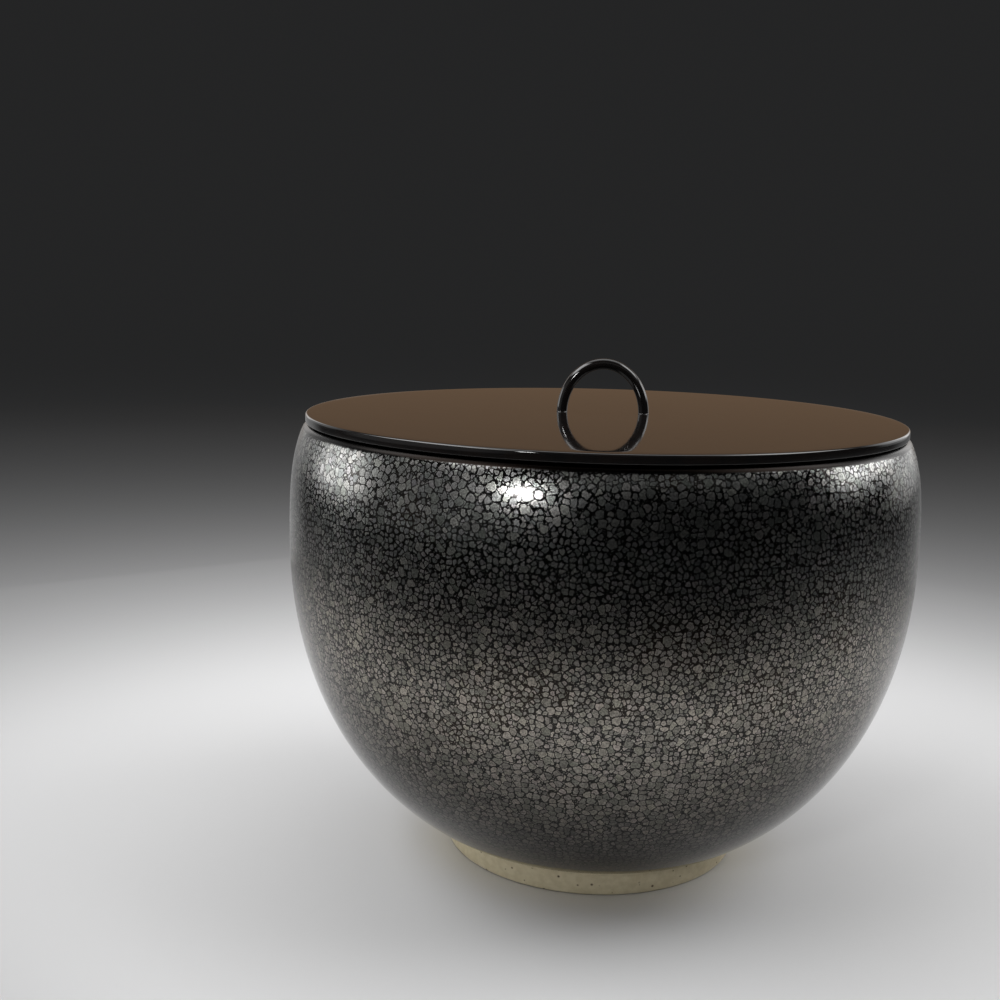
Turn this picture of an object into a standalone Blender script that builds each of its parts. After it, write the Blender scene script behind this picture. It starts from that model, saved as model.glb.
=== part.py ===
"""A lidded stoneware water jar: a thrown jar, a turned lacquered lid and a bent loop for a knob.

Units are metres and +Z is up. The origin is on the jar's axis, in the plane that the foot stands on.
Outlines are lists of (radius, height) points. Each runs from the axis, down the outer side, back to the axis.
"""

import math

import bmesh
import bpy
from mathutils import Vector
from mathutils.geometry import interpolate_bezier

# Jar, outer curve
BELLY_RADIUS = 0.1000
BELLY_HEIGHT = 0.1030
BELLY_PULL_DOWN = 0.0446  # curve handle from the belly towards the foot
BELLY_PULL_UP = 0.0160  # curve handle from the belly towards the rim
RIM_RADIUS = 0.0959
RIM_HEIGHT = 0.1376
RIM_LEAN = math.radians(23.0)  # how far the wall leans inwards at the rim
RIM_PULL = 0.0090  # curve handle down from the rim
UNDERSIDE_RISE = math.radians(26.4)  # slope of the body where it leaves the foot
UNDERSIDE_PULL = 0.0349  # curve handle out from the foot

# Jar, wall and floor
WALL = 0.0060
FLOOR_THICKNESS = 0.0080

# Jar, foot ring
FOOT_RADIUS = 0.0478
FOOT_HEIGHT = 0.0072
FOOT_FLARE = 0.0012  # how much wider the ring is where it meets the body
FOOT_RING_WIDTH = 0.0065
FOOT_RECESS = 0.0045
FOOT_EDGE = 0.0009  # rounding of the ring's edges
FOOT_FILLET = 0.0040  # hollow rounding where the ring meets the body

# Lid
LID_OVERHANG = 0.0017  # past the crown of the lip
LID_EDGE = 0.0027  # height of the lid's edge
LID_DOME = 0.0003  # how far the top falls from its flat middle to its edge
LID_FLAT_RADIUS = 0.0200
LID_ROLL = 0.00012  # how much further it falls close to its edge
LID_ROLL_WIDTH = 0.0060
LID_ARRIS = 0.0006  # rounding of the upper edge
LID_HEEL = 0.0004  # rounding of the lower edge
STEP_DEPTH = 0.0045  # the step underneath that drops into the mouth
STEP_EDGE = 0.0010
STEP_CLEARANCE = 0.0010  # between the step and the mouth, all round
SEAT_GAP = 0.0003  # between the lid and the crown of the lip

# Knob
KNOB_WIDTH = 0.0296  # outside the two legs
KNOB_HEIGHT = 0.0174  # above the middle of the lid
KNOB_ROD = 0.0036  # diameter
TENON = 0.0050
GLUE_GAP = 0.0003

# Fineness of the meshes
TURNS = 60
LOWER_POINTS = 11
UPPER_POINTS = 6
ARC_POINTS = 6
FILLET_POINTS = 3
DOME_POINTS = 5
ROLL_POINTS = 3
ARCH_POINTS = 24
ROD_ROUNDNESS = 3
HOLE_SIDES = 20

MERGE = 1e-6


def material(name, colour, roughness, coat=0.0):
    """A plain finish in one colour, with an optional clear coat."""
    finish = bpy.data.materials.new(name)
    finish.use_nodes = True
    shader = finish.node_tree.nodes["Principled BSDF"]
    shader.inputs["Base Color"].default_value = (*colour, 1.0)
    shader.inputs["Roughness"].default_value = roughness
    shader.inputs["Metallic"].default_value = 0.0
    shader.inputs["Coat Weight"].default_value = coat
    return finish


def place(name, data, finish):
    """Adds an object with one finish to the scene."""
    thing = bpy.data.objects.new(name, data)
    data.materials.append(finish)
    bpy.context.collection.objects.link(thing)
    return thing


def bezier(start, start_handle, end_handle, end, count):
    """Points along one curve, both ends included."""
    return [Vector(p[:2]) for p in interpolate_bezier(start, start_handle, end_handle, end, count)]


def fillet(before, corner, after, radius):
    """The points of an arc that rounds one corner of an outline."""
    to_before = (before - corner).normalized()
    to_after = (after - corner).normalized()
    half_angle = to_before.angle(to_after) / 2
    reach = radius / math.tan(half_angle)
    centre = corner + (to_before + to_after).normalized() * radius / math.sin(half_angle)
    first = corner + to_before * reach - centre
    last = corner + to_after * reach - centre
    return [centre + radius * first.slerp(last, i / FILLET_POINTS) for i in range(FILLET_POINTS + 1)]


def rounded(before, corners, after):
    """An outline through corners, each given as a point and the radius that rounds it."""
    path = [before] + [point for point, _ in corners] + [after]
    points = []
    for i, (point, radius) in enumerate(corners, start=1):
        points += fillet(path[i - 1], point, path[i + 1], radius) if radius else [point]
    return points


def turned(name, outline, finish):
    """A solid turned about the Z axis from an outline whose two ends are on that axis."""
    mesh = bpy.data.meshes.new(name)
    bm = bmesh.new()
    verts = [bm.verts.new((radius, 0.0, height)) for radius, height in outline]
    edges = [bm.edges.new(pair) for pair in zip(verts, verts[1:])]
    bmesh.ops.spin(
        bm, geom=verts + edges, cent=(0, 0, 0), axis=(0, 0, 1), angle=math.tau, steps=TURNS, use_merge=True
    )
    bmesh.ops.remove_doubles(bm, verts=bm.verts, dist=MERGE)
    bmesh.ops.recalc_face_normals(bm, faces=bm.faces)
    bm.to_mesh(mesh)
    bm.free()
    mesh.shade_smooth()
    mesh.set_sharp_from_angle(angle=math.radians(30))
    return place(name, mesh, finish)


def body_curve():
    """The jar's outer side from the rim down to the foot, as points with their outward normals."""
    rim = Vector((RIM_RADIUS, RIM_HEIGHT))
    belly = Vector((BELLY_RADIUS, BELLY_HEIGHT))
    foot = Vector((FOOT_RADIUS + FOOT_FLARE, FOOT_HEIGHT))
    rim_handle = rim - RIM_PULL * Vector((-math.sin(RIM_LEAN), math.cos(RIM_LEAN)))
    foot_handle = foot + UNDERSIDE_PULL * Vector((math.cos(UNDERSIDE_RISE), math.sin(UNDERSIDE_RISE)))
    above = belly + Vector((0, BELLY_PULL_UP))
    below = belly - Vector((0, BELLY_PULL_DOWN))
    points = bezier(rim, rim_handle, above, belly, UPPER_POINTS)
    points += bezier(belly, below, foot_handle, foot, LOWER_POINTS)[1:]
    normals = [Vector((math.cos(RIM_LEAN), math.sin(RIM_LEAN)))]
    for before, after in zip(points, points[2:]):
        along = (after - before).normalized()
        normals.append(Vector((-along.y, along.x)))
    normals.append(Vector((math.sin(UNDERSIDE_RISE), -math.cos(UNDERSIDE_RISE))))
    return points, normals


def lip_centre():
    """The middle of the half round that closes the wall at the rim."""
    return Vector((RIM_RADIUS, RIM_HEIGHT)) - WALL / 2 * Vector((math.cos(RIM_LEAN), math.sin(RIM_LEAN)))


def lip_curve():
    """The rolled lip, from the inner wall over the crown to the outer wall."""
    angles = [RIM_LEAN + math.pi * (1 - i / ARC_POINTS) for i in range(1, ARC_POINTS)]
    return [lip_centre() + WALL / 2 * Vector((math.cos(a), math.sin(a))) for a in angles]


def make_jar():
    """The thrown jar: floor, inner wall, lip, outer wall and foot ring in one piece."""
    outer, normals = body_curve()
    floor = FOOT_RECESS + FLOOR_THICKNESS
    inner = [point - WALL * normal for point, normal in zip(outer, normals)]
    inner = [Vector((point.x, max(point.y, floor))) for point in reversed(inner)]
    ring_inside = FOOT_RADIUS - FOOT_RING_WIDTH
    recess_centre = Vector((0, FOOT_RECESS))
    foot_corners = [
        (outer[-1], FOOT_FILLET),
        (Vector((FOOT_RADIUS, 0)), FOOT_EDGE),
        (Vector((ring_inside, 0)), FOOT_EDGE),
        (Vector((ring_inside, FOOT_RECESS)), FOOT_EDGE),
    ]
    foot = rounded(outer[-2], foot_corners, recess_centre)
    outline = [Vector((0, floor))] + inner + lip_curve() + outer[:-1] + foot + [recess_centre]
    return turned("jar", outline, material("oil_spot_glaze", (0.10, 0.10, 0.105), 0.32, 0.4))


def lid_middle():
    """Height of the middle of the lid's top above the underside of its edge."""
    return LID_EDGE + LID_DOME + LID_ROLL


def lid_top_curve(radius):
    """The lid's top from its flat middle to just inside its edge: a slight dome that rolls down at the edge."""
    roll_start = radius - LID_ROLL_WIDTH
    reach = [LID_FLAT_RADIUS + (roll_start - LID_FLAT_RADIUS) * i / DOME_POINTS for i in range(DOME_POINTS)]
    reach += [roll_start + LID_ROLL_WIDTH * i / ROLL_POINTS for i in range(ROLL_POINTS)]
    points = []
    for at in reach:
        dome = (at - LID_FLAT_RADIUS) / (radius - LID_FLAT_RADIUS)
        roll = max(0.0, (at - roll_start) / LID_ROLL_WIDTH)
        points.append(Vector((at, lid_middle() - LID_DOME * dome**2 - LID_ROLL * roll**3)))
    return points


def make_lid(lacquer):
    """The turned lid, with its origin on the lid's axis at the underside of its edge."""
    radius = lip_centre().x + LID_OVERHANG
    step_radius = lip_centre().x - WALL / 2 - STEP_CLEARANCE
    top_curve = lid_top_curve(radius)
    underside_centre = Vector((0, -STEP_DEPTH))
    edge_corners = [
        (Vector((radius, LID_EDGE)), LID_ARRIS),
        (Vector((radius, 0)), LID_HEEL),
        (Vector((step_radius, 0)), 0),
        (Vector((step_radius, -STEP_DEPTH)), STEP_EDGE),
    ]
    edge = rounded(top_curve[-1], edge_corners, underside_centre)
    lid = turned("lid", [Vector((0, lid_middle()))] + top_curve + edge + [underside_centre], lacquer)
    lid.location.z = lip_centre().y + WALL / 2 + SEAT_GAP
    return lid


def make_knob(lid, lacquer):
    """The loop: an arch of bent rod on two tenons, with its origin on the middle of the lid's top."""
    leg = (KNOB_WIDTH - KNOB_ROD) / 2
    rise = KNOB_HEIGHT - KNOB_ROD / 2
    path = [Vector((-leg, 0, -TENON))]
    for i in range(ARCH_POINTS + 1):
        angle = math.pi * (1 - i / ARCH_POINTS)
        path.append(Vector((leg * math.cos(angle), 0, rise * math.sin(angle))))
    path.append(Vector((leg, 0, -TENON)))

    curve = bpy.data.curves.new("knob_loop", "CURVE")
    curve.dimensions = "3D"
    curve.bevel_depth = KNOB_ROD / 2
    curve.bevel_resolution = ROD_ROUNDNESS
    curve.use_fill_caps = True
    spline = curve.splines.new("POLY")
    spline.points.add(len(path) - 1)
    for point, position in zip(spline.points, path):
        point.co = (*position, 1.0)
    spline.use_smooth = True
    knob = place("knob_loop", curve, lacquer)
    knob.parent = lid
    knob.location.z = lid_middle()

    for side in (-1, 1):
        drill_hole(lid, side * leg)
    return knob


def drill_hole(lid, across):
    """Cuts one blind hole for a tenon into the lid's top."""
    depth = TENON + GLUE_GAP
    mesh = bpy.data.meshes.new("tenon_hole")
    bm = bmesh.new()
    hole_radius = KNOB_ROD / 2 + GLUE_GAP
    bmesh.ops.create_cone(
        bm, cap_ends=True, segments=HOLE_SIDES, radius1=hole_radius, radius2=hole_radius, depth=2 * depth
    )
    bm.to_mesh(mesh)
    bm.free()
    drill = bpy.data.objects.new("tenon_hole", mesh)
    bpy.context.collection.objects.link(drill)
    drill.parent = lid
    drill.location = (across, 0, lid_middle())
    drill.hide_render = True
    drill.display_type = "WIRE"
    cut = lid.modifiers.new("tenon_hole", "BOOLEAN")
    cut.operation = "DIFFERENCE"
    cut.object = drill


for leftover in list(bpy.data.objects):
    bpy.data.objects.remove(leftover, do_unlink=True)

black_lacquer = material("black_lacquer", (0.012, 0.011, 0.011), 0.08, 1.0)
make_jar()
make_knob(make_lid(black_lacquer), black_lacquer)
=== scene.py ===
# %% [markdown]
# # A lidded water jar, dressed for the camera
# The real object is a thrown stoneware jar with an oil-spot glaze. A thin lid of black lacquered wood
# closes it, and a slim bent loop on the lid is its knob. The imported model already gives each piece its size
# and place. This lesson models the three pieces again, finely and with the same curves, gives them their
# finishes, and then sets up the camera and the light.

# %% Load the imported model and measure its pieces
import math

import bmesh
import bpy
from mathutils import Matrix, Vector
from mathutils.geometry import interpolate_bezier


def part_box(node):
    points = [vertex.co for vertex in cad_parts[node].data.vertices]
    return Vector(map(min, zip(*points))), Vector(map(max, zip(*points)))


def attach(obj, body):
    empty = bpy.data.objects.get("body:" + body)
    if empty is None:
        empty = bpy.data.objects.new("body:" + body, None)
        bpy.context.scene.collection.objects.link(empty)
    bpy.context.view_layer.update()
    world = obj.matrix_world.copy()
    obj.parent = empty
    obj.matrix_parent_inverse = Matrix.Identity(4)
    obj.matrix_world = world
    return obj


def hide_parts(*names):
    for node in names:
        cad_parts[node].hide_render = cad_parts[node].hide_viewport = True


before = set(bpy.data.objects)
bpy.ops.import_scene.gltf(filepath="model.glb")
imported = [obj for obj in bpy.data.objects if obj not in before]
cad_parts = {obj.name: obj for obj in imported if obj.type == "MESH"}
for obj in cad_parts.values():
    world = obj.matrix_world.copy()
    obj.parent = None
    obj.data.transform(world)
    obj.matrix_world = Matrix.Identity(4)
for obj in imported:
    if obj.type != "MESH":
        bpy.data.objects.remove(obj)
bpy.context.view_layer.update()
jar_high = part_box("jar")[1]
lid_low, lid_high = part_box("lid")
knob_low, knob_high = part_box("knob_loop")

# %% [markdown]
# ## The camera
# The view is from a little above the lid, close enough that the far side of the lid is clearly smaller than
# the near side. Position and lens come from matching the outlines of the lid, the belly and the foot.
# Blender's camera looks along its own -Z axis, so it is tipped up from looking straight down, swung a
# little to the left, and rolled by the small tilt that the picture has. Multiplying three rotations keeps
# these steps easy to tell apart.

# %% Place the camera
CAMERA_PLACE = (0.0, -0.4038, 0.1849)
CAMERA_DIP = math.radians(10.06)  # below the horizon
CAMERA_SWING = math.radians(4.62)  # to the left of the jar's axis
CAMERA_ROLL = math.radians(1.19)
LENS_MM = 45.0
SENSOR_MM = 36.0

lens = bpy.data.cameras.new("camera")
lens.lens = LENS_MM
lens.sensor_width = SENSOR_MM
camera = bpy.data.objects.new("camera", lens)
bpy.context.scene.collection.objects.link(camera)
camera.matrix_world = (
    Matrix.Translation(CAMERA_PLACE)
    @ Matrix.Rotation(CAMERA_SWING, 4, "Z")
    @ Matrix.Rotation(math.pi / 2 - CAMERA_DIP, 4, "X")
    @ Matrix.Rotation(CAMERA_ROLL, 4, "Z")
)
bpy.context.scene.camera = camera
print("camera at", [round(value, 3) for value in camera.location])

# %% [markdown]
# ## The jar's outline
# A potter throws the jar on a wheel, so its whole shape is one outline turned about an axis. The outline
# could be drawn by hand point by point. Two Bezier curves, one from the foot to the belly and one from the
# belly to the rim, need only a few named sizes and stay smooth at any fineness. The points are pairs of
# radius and height.

# %% Draw the outer wall as two curves
BELLY_HEIGHT = 0.1030
BELLY_PULL_DOWN = 0.0446
BELLY_PULL_UP = 0.0160
RIM_RADIUS = 0.0959
RIM_HEIGHT = 0.1376
RIM_LEAN = math.radians(23.0)
RIM_PULL = 0.0090
UNDERSIDE_RISE = math.radians(26.4)
UNDERSIDE_PULL = 0.0349
FOOT_RADIUS = 0.0478
FOOT_HEIGHT = 0.0072
FOOT_FLARE = 0.0012
LOWER_POINTS = 72
UPPER_POINTS = 28


def direction(angle):
    """A unit step in the outline's plane, at an angle above level."""
    return Vector((math.cos(angle), math.sin(angle)))


def bezier(start, start_handle, end_handle, end, count):
    """Points along one curve, both ends included."""
    return [Vector(point[:2]) for point in interpolate_bezier(start, start_handle, end_handle, end, count)]


belly = Vector((jar_high.x, BELLY_HEIGHT))
rim = Vector((RIM_RADIUS, RIM_HEIGHT))
foot_join = Vector((FOOT_RADIUS + FOOT_FLARE, FOOT_HEIGHT))
foot_handle = foot_join + UNDERSIDE_PULL * direction(UNDERSIDE_RISE)
rim_handle = rim - RIM_PULL * direction(math.pi / 2 + RIM_LEAN)
lower_wall = bezier(foot_join, foot_handle, belly - Vector((0, BELLY_PULL_DOWN)), belly, LOWER_POINTS)
upper_wall = bezier(belly, belly + Vector((0, BELLY_PULL_UP)), rim_handle, rim, UPPER_POINTS)
outer_wall = lower_wall + upper_wall[1:]
print("outer wall:", len(outer_wall), "points from foot to rim")

# %% [markdown]
# ## Lip, inside, glaze edge and foot
# The wall is about 6 mm thick and ends in a rolled lip, so the inside is the outer curve moved inwards and
# the lip is half a circle. The glaze stops just above the foot and stands a hair proud of the bare clay, so
# the clay below it is set back by the glaze's thickness. The foot ring's corners are small arcs, because
# clay is sponged round before it is fired.

# %% Sizes and helpers for the rest of the outline
WALL = 0.0060
FLOOR_THICKNESS = 0.0080
FOOT_RING_WIDTH = 0.0065
FOOT_RECESS = 0.0045
FOOT_EDGE = 0.0009
FOOT_FILLET = 0.0040
GLAZE_LINE = 0.0112  # height of the glaze's lower edge
GLAZE_THICKNESS = 0.0004
LIP_POINTS = 20
ARC_POINTS = 6


def outward(path):
    """The outward normal at each point of a path that runs upwards on the outer side."""
    ends = [path[0]] + path + [path[-1]]
    steps = [(after - before).normalized() for before, after in zip(ends, ends[2:])]
    return [Vector((step.y, -step.x)) for step in steps]


def rounded(before, corner, after, radius):
    """The points of an arc that rounds one corner of an outline."""
    to_before = (before - corner).normalized()
    to_after = (after - corner).normalized()
    half_angle = to_before.angle(to_after) / 2
    centre = corner + (to_before + to_after).normalized() * radius / math.sin(half_angle)
    first = corner + to_before * radius / math.tan(half_angle) - centre
    last = corner + to_after * radius / math.tan(half_angle) - centre
    return [centre + radius * first.slerp(last, i / ARC_POINTS) for i in range(ARC_POINTS + 1)]


# %% Draw the glazed wall, the lip and the inside
normals = outward(outer_wall)
glazed = [point for point in outer_wall if point.y > GLAZE_LINE]
bare = [p - GLAZE_THICKNESS * n for p, n in zip(outer_wall, normals) if p.y <= GLAZE_LINE - GLAZE_THICKNESS]
lip_centre = rim - WALL / 2 * direction(RIM_LEAN)
lip_turns = [RIM_LEAN + math.pi * i / LIP_POINTS for i in range(1, LIP_POINTS)]
lip = [lip_centre + WALL / 2 * direction(angle) for angle in lip_turns]
floor_height = FOOT_RECESS + FLOOR_THICKNESS
inner_wall = [point - WALL * normal for point, normal in zip(outer_wall, normals)]
inner_wall = [point for point in reversed(inner_wall) if point.y > floor_height]
print("lip:", len(lip), "points; inner wall:", len(inner_wall), "points")

# %% Draw the foot and join the outline
ring_inside = FOOT_RADIUS - FOOT_RING_WIDTH
recess_middle = Vector((0, FOOT_RECESS))
ring_top = Vector((ring_inside, FOOT_RECESS))
ring_heel = Vector((ring_inside, 0))
ring_toe = Vector((FOOT_RADIUS, 0))
foot = rounded(recess_middle, ring_top, ring_heel, FOOT_EDGE)
foot += rounded(ring_top, ring_heel, ring_toe, FOOT_EDGE)
foot += rounded(ring_heel, ring_toe, bare[0], FOOT_EDGE)
foot += rounded(ring_toe, bare[0], bare[-1], FOOT_FILLET)
bare = [point for point in bare if point.y > foot[-1].y]
outline = [recess_middle] + foot + bare + glazed + lip + inner_wall + [Vector((0, floor_height))]
print("whole outline:", len(outline), "points,", len(foot) + len(bare) + 1, "of them on bare clay")

# %% [markdown]
# ## Turning the jar
# Spin turns the outline about the axis, as the wheel does. The glaze's pattern has to know where it is on
# the surface, so each point of the outline carries two numbers before it is spun: the distance along the
# outline from the glaze's lower edge, and the height on a flat map of the jar. On such a map a narrow part
# of the jar is drawn too wide, so it is drawn too tall by as much, as on a sailor's chart. Spin copies both
# numbers to every new point.

# %% Spin the outline
TURNS = 192
MERGE = 1e-6  # points closer than this are one
MAP_RADIUS = 0.0960  # where the map has its true size
MAP_NARROWEST = 0.0300


def turn(path, marks=None, steps=TURNS):
    """A bmesh turned about Z from an outline. Marks are named lists of one number for each point."""
    bm = bmesh.new()
    marks = marks or {}
    for name in marks:
        bm.verts.layers.float.new(name)
    verts = [bm.verts.new((radius, 0.0, height)) for radius, height in path]
    for name, values in marks.items():
        layer = bm.verts.layers.float[name]
        for vert, value in zip(verts, values):
            vert[layer] = value
    edges = [bm.edges.new(pair) for pair in zip(verts, verts[1:])]
    bmesh.ops.spin(
        bm, geom=verts + edges, cent=(0, 0, 0), axis=(0, 0, 1), angle=math.tau, steps=steps, use_merge=True
    )
    bmesh.ops.remove_doubles(bm, verts=bm.verts, dist=MERGE)
    bmesh.ops.recalc_face_normals(bm, faces=bm.faces)
    return bm


glaze_start = outline.index(glazed[0])
marks = {"along": [0.0], "map_height": [0.0]}
for before, after in zip(outline, outline[1:]):
    step = (after - before).length
    marks["along"].append(marks["along"][-1] + step)
    radius = max(MAP_NARROWEST, (before.x + after.x) / 2)
    marks["map_height"].append(marks["map_height"][-1] + step * MAP_RADIUS / radius)
marks = {name: [value - values[glaze_start] for value in values] for name, values in marks.items()}
jar_bm = turn(outline, marks)
print("jar:", len(jar_bm.faces), "faces")

# %% [markdown]
# ## Two flat maps of the jar
# The spots are drawn on a flat map of the surface: across is the way round the jar. A map of a round thing
# has to be cut open somewhere, and the cut would show. So the jar gets two maps, one cut at the back and
# one cut at the front, and the finish later changes from one to the other between whole spots. A map is a
# UV layer, which keeps its values on face corners, so both sides of the cut can have their own.

# %% Wrap the two maps round the jar
FRONT, BACK = -math.pi / 2, math.pi / 2


def wrap(bm, name, middle):
    """Adds a map whose zero line is at one angle round the axis and whose cut is opposite."""
    layer = bm.loops.layers.uv.new(name)
    height_layer = bm.verts.layers.float["map_height"]
    for face in bm.faces:
        centre = face.calc_center_median()
        face_angle = math.remainder(math.atan2(centre.y, centre.x) - middle, math.tau)
        for loop in face.loops:
            spot = loop.vert.co
            on_axis = spot.xy.length < MERGE
            turned = math.remainder(math.atan2(spot.y, spot.x) - middle - face_angle, math.tau)
            angle = face_angle if on_axis else face_angle + turned
            loop[layer].uv = (MAP_RADIUS * angle, loop.vert[height_layer])


wrap(jar_bm, "map_front", FRONT)
wrap(jar_bm, "map_back", BACK)

# %% [markdown]
# ## The jar as an object
# One object can carry several finishes. A face with any corner below the glaze's edge is bare clay, and the
# rest are glazed.

# %% Make the jar
SHARP = math.radians(40)
GLAZE_SLOT, CLAY_SLOT = 0, 1


def make_piece(name, bm, body, node):
    """Turns a finished bmesh into a piece that rides on a body and stands for a CAD node."""
    mesh = bpy.data.meshes.new(name)
    bm.to_mesh(mesh)
    bm.free()
    mesh.shade_smooth()
    mesh.set_sharp_from_angle(angle=SHARP)
    piece = bpy.data.objects.new(name, mesh)
    bpy.context.scene.collection.objects.link(piece)
    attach(piece, body)
    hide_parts(node)
    print(name, "has", len(mesh.polygons), "faces")
    return piece


along_layer = jar_bm.verts.layers.float["along"]
for face in jar_bm.faces:
    in_clay = min(vert[along_layer] for vert in face.verts) < -MERGE
    face.material_index = CLAY_SLOT if in_clay else GLAZE_SLOT
jar = make_piece("jar_body", jar_bm, "jar", "jar")

# %% [markdown]
# ## The lid
# The lid is turned from one board and lacquered: a very slight dome on top that rolls down at a thin edge,
# and a step underneath that drops into the jar's mouth. It is spun like the jar. The dome is under half a
# millimetre high, but the polished top mirrors the knob, and the mirror image shows it clearly. Both
# corners of the edge are rubbed round, and each catches a thin line of light.

# %% Turn the lid
LID_EDGE = 0.0027
LID_DOME = 0.0003
LID_FLAT_RADIUS = 0.0200
LID_ROLL = 0.00012
LID_ROLL_WIDTH = 0.0060
LID_ARRIS = 0.0006
LID_HEEL = 0.0004
STEP_CLEARANCE = 0.0010
STEP_EDGE = 0.0010
DOME_POINTS = 24
ROLL_POINTS = 6

lid_radius = lid_high.x
lid_top = lid_high.z
flange_under = lid_top - LID_DOME - LID_ROLL - LID_EDGE
step_radius = lip_centre.x - WALL / 2 - STEP_CLEARANCE
roll_start = lid_radius - LID_ROLL_WIDTH
reach = [LID_FLAT_RADIUS + (roll_start - LID_FLAT_RADIUS) * i / DOME_POINTS for i in range(DOME_POINTS)]
reach += [roll_start + LID_ROLL_WIDTH * i / ROLL_POINTS for i in range(ROLL_POINTS)]
top_curve = [Vector((0, lid_top))]
for at in reach:
    dome = (at - LID_FLAT_RADIUS) / (lid_radius - LID_FLAT_RADIUS)
    roll = max(0.0, (at - roll_start) / LID_ROLL_WIDTH)
    top_curve.append(Vector((at, lid_top - LID_DOME * dome**2 - LID_ROLL * roll**3)))
arris = Vector((lid_radius, flange_under + LID_EDGE))
heel = Vector((lid_radius, flange_under))
step_root = Vector((step_radius, flange_under))
step_corner = Vector((step_radius, lid_low.z))
under_middle = Vector((0, lid_low.z))
lid_outline = top_curve + rounded(top_curve[-1], arris, heel, LID_ARRIS)
lid_outline += rounded(arris, heel, step_root, LID_HEEL)
lid_outline += [step_root] + rounded(step_root, step_corner, under_middle, STEP_EDGE)
lid = make_piece("lid_disc", turn(lid_outline + [under_middle]), "lid", "lid")

# %% [markdown]
# ## The knob
# The knob is a slim rod bent into an arch, a little taller than half a circle, with both ends glued into the
# lid. A half ellipse is close to two Bezier quarters, so a curve through three points draws it, with a short
# straight end sunk at each leg and a round bevel. It becomes a mesh at the end, like the other pieces. Where
# each leg goes in, lacquer has crept up into a small hollow collar, which is spun.

# %% Bend the knob
ROUND = 4 / 3 * (math.sqrt(2) - 1)  # handle length that makes a Bezier quarter round
KNOB_SMOOTHNESS = 40
ROD_ROUNDNESS = 8
SINK = 0.0008  # how far the legs go into the lid here
COLLAR = 0.00025
COLLAR_STEPS = 32

rod_radius = (knob_high.y - knob_low.y) / 2
leg = knob_high.x - rod_radius
rise = knob_high.z - lid_top - rod_radius
bend = bpy.data.curves.new("knob_bend", "CURVE")
bend.dimensions = "3D"
bend.resolution_u = KNOB_SMOOTHNESS
bend.bevel_depth = rod_radius
bend.bevel_resolution = ROD_ROUNDNESS
bend.use_fill_caps = True
straight = SINK / 3  # a handle of this length keeps the sunk end of a leg straight
# Across and up, and the step to the next handle across and up
stations = [
    (-leg, -SINK, 0.0, straight),
    (-leg, 0.0, 0.0, ROUND * rise),
    (0.0, rise, ROUND * leg, 0.0),
    (leg, 0.0, 0.0, -ROUND * rise),
    (leg, -SINK, 0.0, -straight),
]
spline = bend.splines.new("BEZIER")
spline.bezier_points.add(len(stations) - 1)
for point, (across, up, step_across, step_up) in zip(spline.bezier_points, stations):
    point.handle_left_type = point.handle_right_type = "FREE"
    place = Vector((across, 0.0, lid_top + up))
    step = Vector((step_across, 0.0, step_up))
    point.co = place
    point.handle_left = place - step
    point.handle_right = place + step
_, left_root, _, right_root, _ = spline.bezier_points
left_root.handle_left = left_root.co - Vector((0, 0, straight))
right_root.handle_right = right_root.co - Vector((0, 0, straight))

# %% Make the knob a mesh with its two collars
knob_bm = bmesh.new()
bend_object = bpy.data.objects.new("knob_bend", bend)
bend_mesh = bpy.data.meshes.new_from_object(bend_object)
knob_bm.from_mesh(bend_mesh)
bmesh.ops.remove_doubles(knob_bm, verts=knob_bm.verts, dist=MERGE)
bmesh.ops.recalc_face_normals(knob_bm, faces=knob_bm.faces)
bpy.data.objects.remove(bend_object)
collar_curve = bezier(
    Vector((rod_radius, lid_top + COLLAR)),
    Vector((rod_radius, lid_top + COLLAR * (1 - ROUND))),
    Vector((rod_radius + COLLAR * (1 - ROUND), lid_top)),
    Vector((rod_radius + COLLAR, lid_top)),
    ARC_POINTS + 1,
)
collar_outline = collar_curve + [Vector((rod_radius + COLLAR, lid_top - SINK)), Vector((0, lid_top - SINK))]
collar_outline = [Vector((0, lid_top + COLLAR))] + collar_outline
for side in (-leg, leg):
    collar = turn(collar_outline, steps=COLLAR_STEPS)
    bmesh.ops.translate(collar, verts=collar.verts, vec=(side, 0, 0))
    collar_mesh = bpy.data.meshes.new("collar")
    collar.to_mesh(collar_mesh)
    collar.free()
    knob_bm.from_mesh(collar_mesh)
knob = make_piece("knob_arch", knob_bm, "lid", "knob_loop")

# %% [markdown]
# ## A workbench for finishes
# A finish is a small graph of nodes. Writing each node out by hand hides the idea behind the finish, so
# this class adds one node per call and gives back its output, ready to be an input of the next. A value
# that is an output gets a link, and a plain number or colour is set on the socket.

# %% Helpers for node graphs


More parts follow.
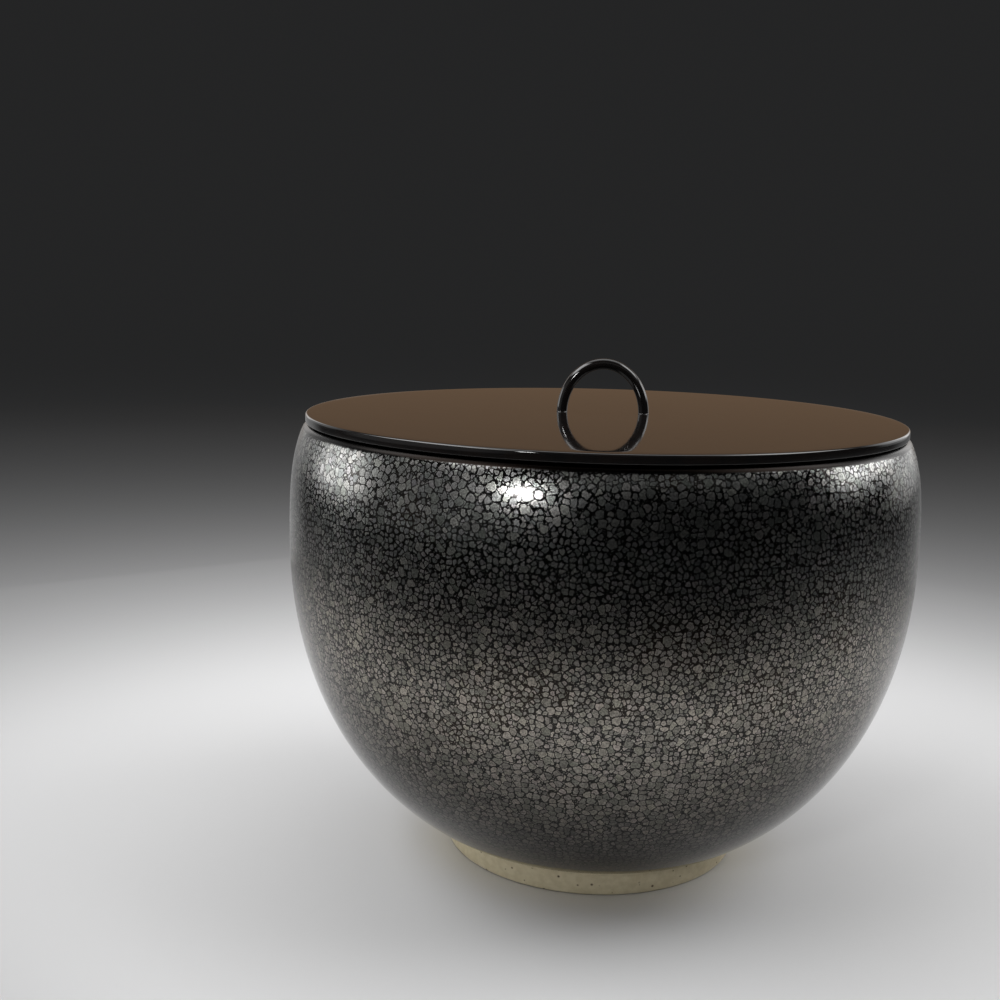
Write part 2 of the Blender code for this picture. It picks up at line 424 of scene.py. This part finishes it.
class Bench:
    """Adds nodes to one graph. Most methods give back the output that matters."""

    def __init__(self, tree):
        self.tree = tree

    def feed(self, made, plugs):
        """Links outputs to a node's sockets, and sets plain values on them."""
        for socket, value in plugs.items():
            if isinstance(value, bpy.types.NodeSocket):
                self.tree.links.new(value, made.inputs[socket])
            else:
                made.inputs[socket].default_value = value

    def node(self, kind, plugs=None, **settings):
        """A new node, with its settings made and its sockets fed."""
        made = self.tree.nodes.new(kind)
        for name, value in settings.items():
            setattr(made, name, value)
        self.feed(made, plugs or {})
        return made

    def maths(self, operation, first, second=0.0, third=0.0, clamp=False):
        plugs = {0: first, 1: second, 2: third}
        return self.node("ShaderNodeMath", plugs, operation=operation, use_clamp=clamp).outputs[0]

    def vectors(self, operation, first, second=(0, 0, 0), scale=1.0, output="Vector"):
        plugs = {0: first, 1: second, 3: scale}
        return self.node("ShaderNodeVectorMath", plugs, operation=operation).outputs[output]

    def ease(self, value, low, high, start=0.0, end=1.0):
        plugs = {"Value": value, "From Min": low, "From Max": high, "To Min": start, "To Max": end}
        return self.node("ShaderNodeMapRange", plugs, interpolation_type="SMOOTHSTEP").outputs[0]

    def mix(self, share, first, second):
        return self.node("ShaderNodeMix", {0: share, 2: first, 3: second}, data_type="FLOAT").outputs[0]

    def tint(self, share, first, second, blend="MIX"):
        plugs = {0: share, 6: first, 7: second}
        return self.node("ShaderNodeMix", plugs, data_type="RGBA", blend_type=blend).outputs[2]

    def noise(self, vector, scale, detail=2.0, output="Fac"):
        plugs = {"Vector": vector, "Scale": scale, "Detail": detail}
        return self.node("ShaderNodeTexNoise", plugs).outputs[output]

    def cells(self, vector, scale, randomness, feature="F1", dimensions="3D"):
        plugs = {"Vector": vector, "Scale": scale, "Randomness": randomness}
        settings = {"voronoi_dimensions": dimensions, "feature": feature}
        return self.node("ShaderNodeTexVoronoi", plugs, **settings).outputs

    def attribute(self, name):
        return self.node("ShaderNodeAttribute", attribute_name=name).outputs["Fac"]

    def bump(self, height, strength):
        plugs = {"Strength": strength, "Distance": 1.0, "Height": height}
        return self.node("ShaderNodeBump", plugs).outputs[0]

    def part(self, vector, axis):
        return self.node("ShaderNodeSeparateXYZ", {0: vector}).outputs[axis]

    def same(self, value):
        return self.node("ShaderNodeCombineXYZ", {0: value, 1: value, 2: value}).outputs[0]


def new_finish(name):
    """An empty material with a bench, its shader and Object coordinates."""
    finish = bpy.data.materials.new(name)
    finish.use_nodes = True
    bench = Bench(finish.node_tree)
    shader = finish.node_tree.nodes["Principled BSDF"]
    place = bench.node("ShaderNodeTexCoord").outputs["Object"]
    return finish, bench, shader, place


# %% [markdown]
# ## One layer of spots
# As the glaze is fired, iron gathers at the surface in silvery spots. They grow until they nearly touch, so
# they look like pebbles with dark glass between them. A Voronoi texture makes the same division: each point
# of the map belongs to its nearest seed. A spot ends where it meets its neighbour or where it has stopped
# growing, and the smooth minimum of the two makes it round. The group gives the distance in from a spot's
# edge, the spot's own shade and its seed.

# %% Make the spot layer group
SPOT_DISORDER = 0.85
REACH_CHANGE = 0.18  # how much further than others a spot may grow, in spot sizes
ROUNDING = 0.14  # how softly a spot's sides turn into each other


def make_spot_layer():
    """A group that divides a map into spots of one size."""
    group = bpy.data.node_groups.new("spot_layer", "ShaderNodeTree")
    group.interface.new_socket("Map", in_out="INPUT", socket_type="NodeSocketVector")
    for name in ("Size", "Reach"):
        group.interface.new_socket(name, in_out="INPUT", socket_type="NodeSocketFloat")
    for name, kind in (("Edge", "Float"), ("Shade", "Color"), ("Seed", "Vector")):
        group.interface.new_socket(name, in_out="OUTPUT", socket_type="NodeSocket" + kind)
    bench = Bench(group)
    given = bench.node("NodeGroupInput").outputs
    per_size = bench.maths("DIVIDE", 1.0, given["Size"])
    grid = bench.vectors("SCALE", given["Map"], scale=per_size)
    cell = bench.cells(grid, 1.0, SPOT_DISORDER, dimensions="2D")
    border = bench.cells(grid, 1.0, SPOT_DISORDER, "DISTANCE_TO_EDGE", "2D")
    reach = bench.maths("MULTIPLY_ADD", bench.part(cell["Color"], "Y"), REACH_CHANGE, given["Reach"])
    grown = bench.maths("SUBTRACT", reach, cell["Distance"])
    edge = bench.maths("SMOOTH_MIN", border["Distance"], grown, ROUNDING)
    edge = bench.maths("MULTIPLY", edge, given["Size"])
    seed = bench.vectors("SCALE", cell["Position"], scale=given["Size"])
    bench.node("NodeGroupOutput", {"Edge": edge, "Shade": cell["Color"], "Seed": seed})
    return group


spot_layer = make_spot_layer()
print("spot layer:", len(spot_layer.nodes), "nodes")

# %% [markdown]
# ## Spots of three sizes
# On the jar the spots are large under the rim and near the foot and smaller in between, and where the sizes
# meet they mingle. So a large spot is there by a chance that depends on its own height. The question is
# asked at its seed, which keeps every spot whole, and so is the question which of the two maps a spot
# belongs to. The sizes are laid one after another, large ones first, and each only fills the room that the
# ones before it have left.

# %% Choose where the large spots are
# Heights on the outer wall in metres, and the share of large spots there
LARGE_SHARE = (
    (0.012, 1.0),
    (0.040, 1.0),
    (0.055, 0.75),
    (0.070, 0.35),
    (0.085, 0.12),
    (0.105, 0.10),
    (0.122, 0.16),
    (0.127, 0.5),
    (0.131, 0.95),
    (0.1362, 0.1),
)


def map_height(height):
    """The height on the map of a height on the outer wall."""
    steps = zip(glazed, marks["map_height"][glaze_start:])
    return min(steps, key=lambda step: abs(step[0].y - height))[1]


def large_wanted(bench, layer):
    """1 on the large spots that are kept and 0 on the others."""
    top = map_height(RIM_HEIGHT)
    up = bench.maths("DIVIDE", bench.part(layer["Seed"], "Y"), top, clamp=True)
    ramp = bench.node("ShaderNodeValToRGB", {0: up})
    stops = ramp.color_ramp.elements
    while len(stops) < len(LARGE_SHARE):
        stops.new(0.5)  # given its place below
    for stop, (height, share) in zip(stops, LARGE_SHARE):
        stop.position = map_height(height) / top
        stop.color = (share, share, share, 1)
    return bench.maths("LESS_THAN", bench.part(layer["Shade"], "Z"), ramp.outputs[0])


print("share of large spots set at", len(LARGE_SHARE), "heights")

# %% Lay the spots
LARGE_SPOT = 0.0024
# Size, and growth from the seed in spot sizes
SPOT_SIZES = ((LARGE_SPOT, 0.50), (0.0016, 0.52), (0.0008, 0.60))
ABSENT = 1.0  # how far outside its edge a spot is taken to be where there is none
GIVE_WAY = 0.0002  # how softly a spot follows the edge of one laid before it
WOBBLE = 0.0014
WOBBLE_SCALE = 850.0
NOISE_MIDDLE = (0.5, 0.5, 0.5)
# How far from its zero line each map has spots
FRONT_REACH = MAP_RADIUS * math.radians(150)
BACK_REACH = MAP_RADIUS * math.radians(34)


def lay_spots(bench, place):
    """The distance in from the edge of the spot at each place on the jar, and that spot's shade."""
    shake = bench.noise(place, WOBBLE_SCALE, output="Color")
    shake = bench.vectors("SUBTRACT", shake, NOISE_MIDDLE)
    shake = bench.vectors("MULTIPLY", shake, (WOBBLE, WOBBLE, 0))
    edge, shade = -ABSENT, (*NOISE_MIDDLE, 1)
    for size, growth in SPOT_SIZES:
        for side, reach in (("front", FRONT_REACH), ("back", BACK_REACH)):
            sheet = bench.node("ShaderNodeUVMap", uv_map="map_" + side).outputs[0]
            sheet = bench.vectors("ADD", sheet, shake)
            plugs = {"Map": sheet, "Size": size, "Reach": growth}
            layer = bench.node("ShaderNodeGroup", plugs, node_tree=spot_layer).outputs
            across = bench.maths("ABSOLUTE", bench.part(layer["Seed"], "X"))
            there = bench.maths("LESS_THAN", across, reach)
            if size == LARGE_SPOT:
                there = bench.maths("MULTIPLY", there, large_wanted(bench, layer))
            own_edge = bench.mix(there, -ABSENT, layer["Edge"])
            room = bench.maths("MULTIPLY", edge, -1.0)
            own_edge = bench.maths("SMOOTH_MIN", own_edge, room, GIVE_WAY)
            shade = bench.tint(bench.maths("GREATER_THAN", own_edge, edge), shade, layer["Shade"])
            edge = bench.maths("MAXIMUM", own_edge, edge)
    return edge, shade


# %% [markdown]
# ## The oil-spot glaze
# The spots are iron oxide with a satin metal shine. Their colour changes from neutral silver near the rim to
# a little warmer below, and this change is a painted reflection of cool light near the rim and of warm
# surroundings low on the body. The glass between them is black, so all that is seen of it is a faint mirror
# image. Both can be one metallic shader, which mirrors strongly on a spot and very faintly between: a mix of
# metal and plastic would glow along each spot's edge. Towards the foot the glaze is made darker, and its
# spots as smooth as the glass. At its lower edge the glaze is thin and olive from the clay behind it. Spots
# fade out there, on the lip, where the glaze runs thin and brown and is darkened further as painted shade
# under the lid, and inside the jar, where the glaze is plain.

# %% Where the spots are
GAP = 0.00017  # half the usual width of glass between spots
GAP_SOFT = 0.00008
GAP_CHANGE = 0.00010
PATCH_SCALE = 45.0
LOW_EDGE = 0.0018  # width of the plain glass along the lower edge
THIN_EDGE = 0.0060  # width of the thin glaze there, which lets the clay show through
FADE_BELOW, FADE_ABOVE = 0.0005, 0.0002  # the spots fade out from below to above the start of the lip
LIP_END = 0.0040  # how far inside the lip's brown and painted shade ends
SPOTS_END, PLAIN_START = 0.012, 0.030  # how far inside the spots begin to go, and are gone

glaze, bench, shader, place = new_finish("oil_spot_glaze")
edge, shade = lay_spots(bench, place)
travel = bench.attribute("along")
lip_along = marks["along"][outline.index(lip[0])]
inside_along = marks["along"][outline.index(inner_wall[0])]
patches = bench.noise(place, PATCH_SCALE, detail=3.0)
gap = bench.maths("MULTIPLY_ADD", patches, GAP_CHANGE, GAP - GAP_CHANGE / 2)
inset = bench.maths("SUBTRACT", edge, gap)
lip_share = bench.ease(travel, lip_along - FADE_BELOW, lip_along + FADE_ABOVE)
within = bench.ease(travel, inside_along, inside_along + LIP_END)
metal_share = bench.ease(travel, inside_along + SPOTS_END, inside_along + PLAIN_START, 1.0, 0.0)
covered = bench.maths("SUBTRACT", bench.ease(travel, LOW_EDGE / 3, LOW_EDGE), lip_share)
covered = bench.maths("MAXIMUM", covered, bench.maths("MULTIPLY", within, metal_share))
spot = bench.maths("MULTIPLY", bench.ease(inset, -GAP_SOFT, GAP_SOFT), covered)

# %% Colour of the glaze
# The change from silver near the rim to warmer below is painted reflection: cool light mirrored near the rim,
# warm surroundings mirrored low on the body.
SPOT_SILVER = (0.262, 0.264, 0.256, 1)
SPOT_WARM = (0.284, 0.264, 0.235, 1)
WARM_BELOW, SILVER_ABOVE = 0.085, 0.120  # heights
SPOT_TINTS = 0.06
DIM_LOW, DIM_HIGH = 0.030, 0.098  # heights between which the glaze goes from darker and smoother to full brightness and satin
LOWEST_SHINE = 0.36  # how much of the glaze's brightness is left below the lower of these heights
GLASS_BLACK = (0.030, 0.029, 0.028, 1)
GLASS_BROWN = (0.035, 0.028, 0.023, 1)
GLASS_OLIVE = (0.270, 0.240, 0.180, 1)
# Thin brown glaze on the lip, darkened further as painted shade under the lid's overhang.
LIP_BROWN_AND_SHADE = (0.0045, 0.0032, 0.0026, 1)
RIM_PALE = 0.00030  # width of the lighter rim of a spot
RIM_LIFT = 1.2
TONE_LEAST, TONE_CHANGE = 0.7, 0.6  # the darkest spot, and how much lighter another may be
GRAIN_SCALE = 2000.0
GRAIN_DARK, GRAIN_LIGHT = 0.65, 1.35
NOISE_LOW, NOISE_HIGH = 0.3, 0.7  # most of a noise lies between these
BROWN_FROM, BROWN_FULL = 0.45, 0.7  # noise at which the glass turns brown

fine = bench.noise(place, GRAIN_SCALE)
tone = bench.maths("MULTIPLY_ADD", bench.part(shade, "X"), TONE_CHANGE, TONE_LEAST)
tone = bench.maths("MULTIPLY", tone, bench.ease(fine, NOISE_LOW, NOISE_HIGH, GRAIN_DARK, GRAIN_LIGHT))
tone = bench.maths("MULTIPLY", tone, bench.ease(inset, RIM_PALE, RIM_PALE / 3, 1.0, RIM_LIFT))
up = bench.part(place, "Z")
metal = bench.tint(bench.ease(up, WARM_BELOW, SILVER_ABOVE), SPOT_WARM, SPOT_SILVER)
metal = bench.tint(SPOT_TINTS, metal, shade, "MULTIPLY")
metal = bench.vectors("MULTIPLY", metal, bench.same(tone))
glass = bench.tint(bench.ease(patches, BROWN_FROM, BROWN_FULL), GLASS_BLACK, GLASS_BROWN)
# The glaze is made darker towards the foot.
dimming = bench.ease(up, DIM_LOW, DIM_HIGH, LOWEST_SHINE, 1.0)
colour = bench.vectors("MULTIPLY", bench.tint(spot, glass, metal), bench.same(dimming))
colour = bench.tint(bench.ease(travel, THIN_EDGE, 0.0), colour, GLASS_OLIVE)
on_lip = bench.maths("MULTIPLY", lip_share, bench.maths("SUBTRACT", 1.0, within))
colour = bench.tint(on_lip, colour, LIP_BROWN_AND_SHADE)
bench.feed(shader, {"Base Color": colour, "Metallic": metal_share})

# %% Shine of the glaze
GLASS_POLISH, SPOT_SATIN = 0.10, 0.26  # roughness
GRAZING_SHINE = (0.92, 0.92, 0.92, 1)

satin = bench.ease(up, DIM_LOW, DIM_HIGH, GLASS_POLISH, SPOT_SATIN)
rough = bench.mix(bench.maths("MAXIMUM", spot, on_lip), GLASS_POLISH, satin)
bench.feed(shader, {"Roughness": rough, "Specular Tint": GRAZING_SHINE})
jar.data.materials.append(glaze)
print("glaze:", len(glaze.node_tree.nodes), "nodes")

# %% [markdown]
# ## Bare clay
# The foot was wiped clean of glaze, so the kiln left it a dry cream colour with a few iron specks and the
# faint rings of the turning tool. Close under the glaze the clay is stained brown, and the same brown along
# the ring's lower edge is painted shade where the foot meets the floor. Noise gives the sand, noise squeezed
# in height gives the rings, and seeds that fall close enough to the surface give the specks.

# %% Colour of the clay
CLAY_CREAM = (0.66, 0.59, 0.42, 1)
CLAY_SAND = (0.58, 0.51, 0.345, 1)
# Brown stain under the glaze, also used as painted shade along the ring's lower edge.
CLAY_STAIN_AND_SHADE = (0.17, 0.120, 0.060, 1)
CLAY_SPECK = (0.060, 0.030, 0.014, 1)
SAND_SCALE = 420.0
RING_SQUEEZE = (25.0, 25.0, 900.0)
RINGS_FROM, RINGS_FULL, RINGS_SHARE = 0.55, 0.75, 0.35  # noise at which a ring shows, and how strongly
SPECK_SCALE = 480.0
SPECKLESS = 0.76  # share of the seeds that make no speck
SPECK_LEAST, SPECK_CHANGE = 0.10, 0.22  # reach of the smallest speck, and how much more one may have
SPECK_CORE = 0.4  # share of the reach that is fully dark
STAIN_FROM, STAIN_FULL = -0.0008, 0.0003  # way along the outline from the glaze's edge
STAIN_WAVER = 0.0008
STAIN_AND_SHADE_SHARE = 0.9
CONTACT_SHADE_HEIGHT = 0.0005  # height of the painted contact shade along the ring's lower edge

clay, bench, shader, place = new_finish("bare_clay")
travel = bench.attribute("along")
sand = bench.noise(place, SAND_SCALE, detail=5.0)
rings = bench.noise(bench.vectors("MULTIPLY", place, RING_SQUEEZE), 1.0)
colour = bench.tint(bench.ease(sand, NOISE_LOW, NOISE_HIGH), CLAY_CREAM, CLAY_SAND)
colour = bench.tint(bench.ease(rings, RINGS_FROM, RINGS_FULL, 0.0, RINGS_SHARE), colour, CLAY_SAND)
seeds = bench.cells(place, SPECK_SCALE, 1.0)
rare = bench.maths("GREATER_THAN", bench.part(seeds["Color"], "X"), SPECKLESS)
reach = bench.maths("MULTIPLY_ADD", bench.part(seeds["Color"], "Y"), SPECK_CHANGE, SPECK_LEAST)
speck = bench.ease(seeds["Distance"], bench.maths("MULTIPLY", reach, SPECK_CORE), reach, 1.0, 0.0)
colour = bench.tint(bench.maths("MULTIPLY", speck, rare), colour, CLAY_SPECK)
wavering = bench.maths("ADD", travel, bench.maths("MULTIPLY", sand, STAIN_WAVER))
stain = bench.ease(wavering, STAIN_FROM, STAIN_FULL, 0.0, STAIN_AND_SHADE_SHARE)
# Painted shade: the ring's lowest half millimetre darkens with the stain's colour where the foot meets the
# floor.
painted_contact_shade = bench.ease(bench.part(place, "Z"), CONTACT_SHADE_HEIGHT, CONTACT_SHADE_HEIGHT / 4, 0.0, STAIN_AND_SHADE_SHARE)
colour = bench.tint(bench.maths("MAXIMUM", stain, painted_contact_shade), colour, CLAY_STAIN_AND_SHADE)
bench.feed(shader, {"Base Color": colour})
print("clay: one seed in", round(1 / (1 - SPECKLESS)), "makes a speck")

# %% Surface of the clay
SAND_HEIGHT, RING_HEIGHT = 0.00022, 0.00010
CLAY_BUMP = 0.7
CLAY_SMOOTH, CLAY_ROUGH = 0.78, 0.92

ring_height = bench.maths("MULTIPLY", rings, RING_HEIGHT)
height = bench.maths("ADD", bench.maths("MULTIPLY", sand, SAND_HEIGHT), ring_height)
rough = bench.ease(sand, NOISE_LOW, NOISE_HIGH, CLAY_SMOOTH, CLAY_ROUGH)
bench.feed(shader, {"Roughness": rough, "Normal": bench.bump(height, CLAY_BUMP)})
jar.data.materials.append(clay)
print("clay:", len(clay.node_tree.nodes), "nodes")

# %% [markdown]
# ## Black lacquer
# Lacquer is laid in many thin coats and polished until it is a dark mirror. It is never quite flat, so a
# very low, broad noise makes the reflections swim a little, and a finer one breaks the polish. The black
# has a trace of brown.

# %% Make the lacquer
LACQUER_BLACK = (0.006, 0.0055, 0.0055, 1)
LACQUER_BROWN = (0.009, 0.0068, 0.006, 1)
LACQUER_WAVE_SCALE = 60.0
LACQUER_WAVE = 0.000012
HAZE_SCALE = 140.0
HAZE_BROWN = (0.35, 0.7)  # noise at which the black turns brown
HAZE_DULL = (0.3, 0.75)  # noise at which the polish turns dull
LACQUER_POLISH, LACQUER_DULL = 0.04, 0.06  # roughness
LACQUER_IOR = 1.54

lacquer, bench, shader, place = new_finish("black_lacquer")
wave = bench.noise(place, LACQUER_WAVE_SCALE, detail=1.0)
haze = bench.noise(place, HAZE_SCALE, detail=4.0)
colour = bench.tint(bench.ease(haze, *HAZE_BROWN), LACQUER_BLACK, LACQUER_BROWN)
rough = bench.ease(haze, *HAZE_DULL, LACQUER_POLISH, LACQUER_DULL)
bump = bench.bump(bench.maths("MULTIPLY", wave, LACQUER_WAVE), 1.0)
bench.feed(shader, {"Base Color": colour, "Roughness": rough, "Normal": bump, "IOR": LACQUER_IOR})
lid.data.materials.append(lacquer)
knob.data.materials.append(lacquer)
print("lacquer:", len(lacquer.node_tree.nodes), "nodes")

# %% [markdown]
# ## Floor and room
# The jar stands on a pale sheet that darkens away from it into a dim room, as on a graded paper background.
# It darkens sooner in front of the jar than beside and behind it. Far out, the floor gives off exactly the
# room's colour, so no horizon shows from any side.

# %% Light the room and lay the floor
ROOM_DIM = (0.0180, 0.0182, 0.0186, 1)
FLOOR_RADIUS = 6.0
FLOOR_SIDES = 128

room = bpy.data.worlds.new("room")
room.use_nodes = True
room.node_tree.nodes["Background"].inputs["Color"].default_value = ROOM_DIM
bpy.context.scene.world = room
bpy.context.scene.view_settings.view_transform = "Standard"

floor_bm = bmesh.new()
bmesh.ops.create_circle(floor_bm, cap_ends=True, segments=FLOOR_SIDES, radius=FLOOR_RADIUS)
floor_mesh = bpy.data.meshes.new("floor")
floor_bm.to_mesh(floor_mesh)
floor_bm.free()
floor = bpy.data.objects.new("floor", floor_mesh)
bpy.context.scene.collection.objects.link(floor)
print("floor", 2 * FLOOR_RADIUS, "m across")

# %% Grade the floor
FLOOR_PALE = (0.62, 0.62, 0.625, 1)
PAPER_ROUGH = 0.7
PALE_RADIUS = 0.15
FRONT_WAY, BACK_WAY = -0.95, 0.2  # how far back a way points, from -1 to 1
HALF_WAY_FRONT, HALF_WAY_BACK = 0.07, 0.19  # past the pale middle, to where half of the change is done

paper, bench, shader, place = new_finish("graded_paper")
way = bench.vectors("NORMALIZE", place)
past = bench.maths("SUBTRACT", bench.vectors("LENGTH", place, output="Value"), PALE_RADIUS)
square = bench.maths("POWER", bench.maths("MAXIMUM", past, 0.0), 2.0)
half_way = bench.ease(bench.part(way, "Y"), FRONT_WAY, BACK_WAY, HALF_WAY_FRONT, HALF_WAY_BACK)
fade = bench.maths("DIVIDE", square, bench.maths("ADD", square, bench.maths("POWER", half_way, 2.0)))
bench.feed(shader, {"Base Color": FLOOR_PALE, "Roughness": PAPER_ROUGH})
dim = bench.node("ShaderNodeEmission", {"Color": ROOM_DIM, "Strength": 1.0}).outputs[0]
blend = bench.node("ShaderNodeMixShader", {0: fade, 1: shader.outputs[0], 2: dim}).outputs[0]
bench.feed(paper.node_tree.nodes["Material Output"], {"Surface": blend})
floor_mesh.materials.append(paper)
print("paper:", len(paper.node_tree.nodes), "nodes")

# %% [markdown]
# ## Studio light
# A dark, shiny glaze shows little but what it mirrors, so the lights are placed by what the jar should
# mirror. One broad light overhead and two high at the sides give the pale floor and the soft shadow, and
# hang too high for the wall to mirror them. Three smaller ones, low in front and at both sides, are the
# bright patches on the shoulder. Dim panels and cards round about give the glaze its sheen, and the dim
# warm one behind is what the lid mirrors. Every light fades towards its edges, so no reflection ends in a
# hard line. A photographer would shade the lid from the two low side lights with a card. Here light linking
# leaves it out of them.

# %% A soft light
LIGHT_AIM = Vector((0.0, 0.0, jar_high.z))
SOFT_EDGE = 0.3  # share of a light's width over which it fades, at each side
FULL_SHARE = 1 - SOFT_EDGE  # how much of the width would give as much light without the fading
PANEL_MIDDLE = 0.5  # a panel's own coordinates run from 0 to 1


def hang(name, round_from_viewer, above, distance, width, height, power):
    """A soft rectangular light that faces the jar and fades towards its edges."""
    light = bpy.data.lights.new(name, "AREA")
    light.shape = "RECTANGLE"
    light.size, light.size_y = width / FULL_SHARE, height / FULL_SHARE
    light.energy = power / FULL_SHARE**2
    light.use_nodes = True
    bench = Bench(light.node_tree)
    on_panel = bench.node("ShaderNodeNewGeometry").outputs["Parametric"]
    glow = 1.0
    for axis in ("X", "Y"):
        from_middle = bench.maths("SUBTRACT", bench.part(on_panel, axis), PANEL_MIDDLE)
        from_middle = bench.maths("ABSOLUTE", from_middle)
        glow = bench.maths("MULTIPLY", glow, bench.ease(from_middle, PANEL_MIDDLE, PANEL_MIDDLE - SOFT_EDGE))
    bench.feed(light.node_tree.nodes["Emission"], {"Strength": glow})
    lamp = bpy.data.objects.new(name, light)
    swing, lift = math.radians(round_from_viewer), math.radians(above)
    away = Vector((math.sin(swing) * math.cos(lift), -math.cos(swing) * math.cos(lift), math.sin(lift)))
    lamp.location = LIGHT_AIM + distance * away
    lamp.rotation_euler = away.to_track_quat("Z", "Y").to_euler()
    lamp.visible_camera = False
    bpy.context.scene.collection.objects.link(lamp)
    print(name, "at", [round(value, 2) for value in lamp.location])
    return lamp


# %% Hang the lights
WARM_LIGHT = (1.0, 0.60, 0.32)
# Degrees round from the viewer and above level, distance, width and height in metres, and power in watts
LIGHTS = {
    "overhead": (180, 70, 1.2, 1.4, 1.0, 7.2),
    "high_left": (-80, 50, 1.4, 1.4, 0.6, 16.0),
    "high_right": (95, 48, 1.5, 1.0, 0.7, 11.5),
    "low_front": (-25.8, 17.1, 1.18, 0.11, 0.11, 2.1),
    "low_left": (-101.5, 8.0, 0.9, 0.42, 0.32, 1.2),
    "low_right": (105, 18.5, 0.9, 0.56, 0.30, 2.2),
    "left_panel": (-68, 9, 1.1, 1.5, 0.7, 0.70),
    "left_edge": (-131, 14, 1.3, 0.8, 0.7, 0.75),
    "right_edge": (133, 12, 1.3, 0.8, 0.7, 1.8),
    "left_rim": (-150, 11, 1.2, 0.30, 0.38, 0.30),
    "right_rim": (150, 11, 1.2, 0.30, 0.38, 0.30),
    "left_card": (-143, -8.3, 0.45, 0.30, 0.15, 0.040),
    "right_card": (143, -8.3, 0.45, 0.30, 0.15, 0.018),
    "right_panel": (20, 30, 1.3, 1.7, 0.3, 0.28),
    "back_panel": (180, 7, 1.3, 1.5, 0.5, 0.36),
}

shaded = bpy.data.collections.new("shaded_from_low_lights")
shaded.objects.link(lid)
shaded.collection_objects[0].light_linking.link_state = "EXCLUDE"
lamps = {name: hang(name, *numbers) for name, numbers in LIGHTS.items()}
for name in ("low_left", "low_right"):
    lamps[name].light_linking.receiver_collection = shaded
lamps["back_panel"].data.color = WARM_LIGHT
print(len(lamps), "lights")
